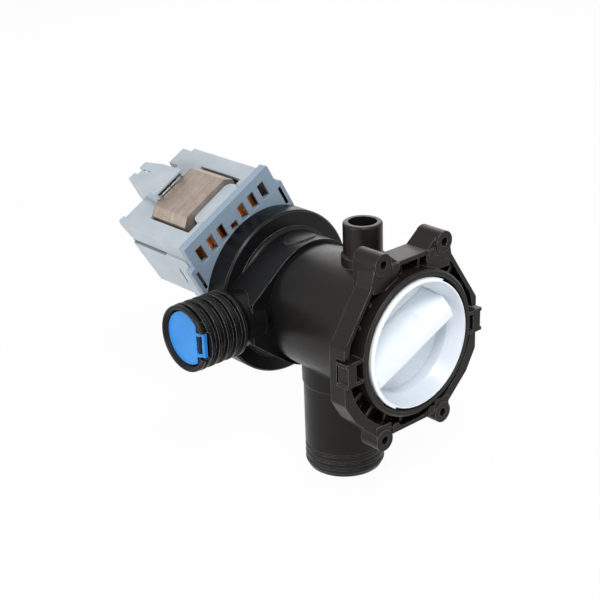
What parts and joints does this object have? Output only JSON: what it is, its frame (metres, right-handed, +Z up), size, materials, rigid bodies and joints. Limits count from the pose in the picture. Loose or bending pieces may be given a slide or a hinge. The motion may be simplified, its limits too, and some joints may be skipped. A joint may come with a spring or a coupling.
{
  "type": "washer drain pump",
  "caption": "Moulded drain pump with a screw-in lint filter, ribbed outlet with a flap valve, and a synchronous motor on a bayonet cup.",
  "frame": {"origin": "centre of the filter opening, in the plane of the four boss faces", "axes": "+X to the right seen from the filter, +Y back along the pump axis towards the motor, +Z up"},
  "size_m": [0.1127, 0.1636, 0.1381],
  "materials": {
    "black_plastic": "satin moulded",
    "white_plastic": "smooth moulded",
    "blue_plastic": "smooth moulded",
    "motor_plastic": "satin moulded",
    "grey_plastic": "glass-filled moulded",
    "natural_plastic": "moulded",
    "black_rubber": "matt",
    "bearing_carbon": "ground",
    "shaft_steel": "ground",
    "ferrite": "sintered",
    "lamination_steel": "stacked sheet",
    "copper": "enamelled copper wire",
    "tinned_brass": "tinned"
  },
  "bodies": {
    "pump_body": {"pump_housing": "black_plastic", "front_flange": "black_plastic", "vent_pipe": "black_plastic", "inlet_pipe": "black_plastic", "outlet_pipe": "black_plastic", "pump_chamber": "black_plastic", "motor_cup": "black_plastic", "valve_pin": "black_plastic", "rotor_can": "grey_plastic", "can_seal": "black_rubber", "front_bearing": "bearing_carbon", "front_bearing_mount": "black_rubber", "front_thrust_washer": "natural_plastic", "rear_bearing": "bearing_carbon", "rear_bearing_mount": "black_rubber", "rear_thrust_washer": "natural_plastic", "motor_front_plate": "motor_plastic", "motor_casing": "motor_plastic", "stator_yoke": "lamination_steel", "pole_left": "lamination_steel", "pole_right": "lamination_steel", "bobbin_left": "natural_plastic", "bobbin_right": "natural_plastic", "coil_left": "copper", "coil_right": "copper", "outer_turns_left": "copper", "outer_turns_right": "copper", "connector_block": "motor_plastic", "terminal_tabs": "tinned_brass"},
    "filter_seal": {"filter_seal": "black_rubber"},
    "filter": {"filter_cap": "white_plastic", "filter_grip": "white_plastic", "filter_cage": "white_plastic"},
    "rotor": {"rotor_shaft": "shaft_steel", "rotor_hub": "natural_plastic", "rotor_magnet": "ferrite", "drive_dog": "natural_plastic"},
    "impeller": {"impeller": "grey_plastic", "impeller_cap": "grey_plastic"},
    "flap": {"outlet_flap": "blue_plastic"}
  },
  "joints": [
    {"name": "rotor_spin", "type": "hinge", "parent": "pump_body", "child": "rotor", "pos_m": [0, 0.12, 0], "axis": [0, 1, 0], "continuous": true},
    {"name": "impeller_play", "type": "hinge", "parent": "rotor", "child": "impeller", "pos_m": [0, 0.075, 0], "axis": [0, 1, 0], "range_deg": [-125, 125]},
    {"name": "filter_advance", "type": "slide", "parent": "pump_body", "child": "filter_seal", "axis": [0, -1, 0], "range_m": [0, 0.006]},
    {"name": "filter_turn", "type": "hinge", "parent": "filter_seal", "child": "filter", "pos_m": [0, 0, 0], "axis": [0, -1, 0], "range_deg": [0, 90]},
    {"name": "valve_swing", "type": "hinge", "parent": "pump_body", "child": "flap", "pos_m": [-0.0669, 0.0672, 0], "axis": [0, 0, 1], "range_deg": [0, 55]}
  ],
  "couplings": [
    {"joint": "filter_advance", "follows": "filter_turn", "m_per_rad": 0.0038197}
  ]
}
